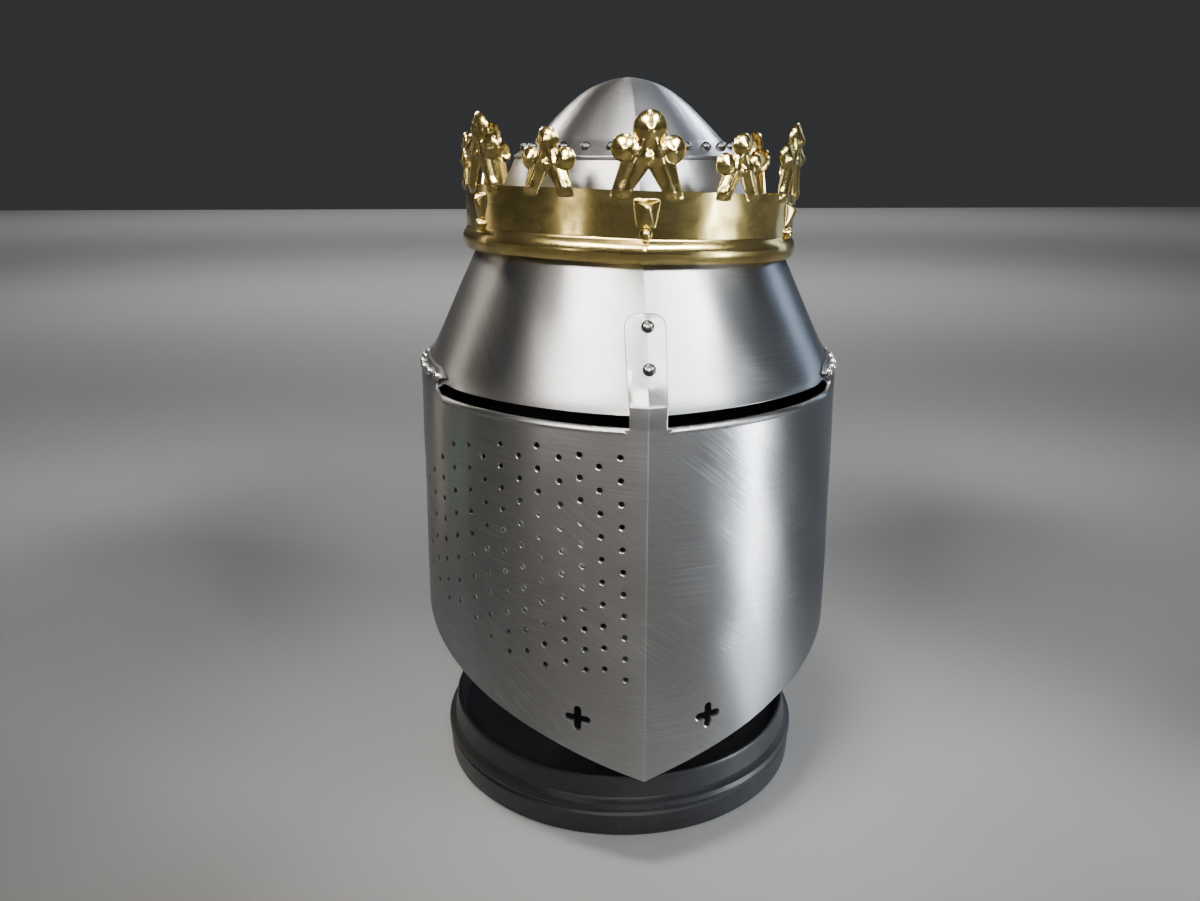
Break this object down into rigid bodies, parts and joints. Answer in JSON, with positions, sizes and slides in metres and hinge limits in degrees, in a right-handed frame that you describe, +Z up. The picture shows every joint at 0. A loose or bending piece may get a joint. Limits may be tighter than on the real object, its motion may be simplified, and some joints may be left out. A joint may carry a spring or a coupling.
{
  "type": "great helm with crown on display stand",
  "caption": "Full steel great helm with keeled face plate, sight slits, breathing holes and a brass fleuron crown, on a round moulded display base.",
  "frame": {"origin": "middle of the base's underside, on the table", "axes": "+Z up, the helm faces -Y, +X is the wearer's left"},
  "size_m": [0.2481, 0.2892, 0.418],
  "materials": {
    "brushed_steel": "satin, sanded in fine crossing scratches",
    "dark_rivet_steel": "darkened, smooth",
    "polished_brass": "polished",
    "base_paint": "dark grey satin paint",
    "post_paint": "matt black paint"
  },
  "bodies": {
    "root": {"dome_cap": "brushed_steel", "skull_front": "brushed_steel", "skull_back": "brushed_steel", "face_plate": "brushed_steel", "nape_plate": "brushed_steel", "nasal_rivet_1": "brushed_steel", "nasal_rivet_2": "brushed_steel", "joint_rivet_l1": "brushed_steel", "joint_rivet_l2": "brushed_steel", "joint_rivet_l3": "brushed_steel", "joint_rivet_l4": "brushed_steel", "joint_rivet_l5": "brushed_steel", "joint_rivet_r1": "brushed_steel", "joint_rivet_r2": "brushed_steel", "joint_rivet_r3": "brushed_steel", "joint_rivet_r4": "brushed_steel", "joint_rivet_r5": "brushed_steel", "dome_rivet_01": "dark_rivet_steel", "dome_rivet_02": "dark_rivet_steel", "dome_rivet_03": "dark_rivet_steel", "dome_rivet_04": "dark_rivet_steel", "dome_rivet_05": "dark_rivet_steel", "dome_rivet_06": "dark_rivet_steel", "dome_rivet_07": "dark_rivet_steel", "dome_rivet_08": "dark_rivet_steel", "dome_rivet_09": "dark_rivet_steel", "dome_rivet_10": "dark_rivet_steel", "dome_rivet_11": "dark_rivet_steel", "dome_rivet_12": "dark_rivet_steel", "dome_rivet_13": "dark_rivet_steel", "dome_rivet_14": "dark_rivet_steel", "dome_rivet_15": "dark_rivet_steel", "dome_rivet_16": "dark_rivet_steel", "dome_rivet_17": "dark_rivet_steel", "dome_rivet_18": "dark_rivet_steel", "dome_rivet_19": "dark_rivet_steel", "dome_rivet_20": "dark_rivet_steel", "dome_rivet_21": "dark_rivet_steel", "dome_rivet_22": "dark_rivet_steel", "dome_rivet_23": "dark_rivet_steel", "dome_rivet_24": "dark_rivet_steel", "dome_rivet_25": "dark_rivet_steel", "dome_rivet_26": "dark_rivet_steel", "dome_rivet_27": "dark_rivet_steel", "dome_rivet_28": "dark_rivet_steel", "crown": "polished_brass", "stand_base": "base_paint", "stand_post": "post_paint"}
  },
  "joints": []
}
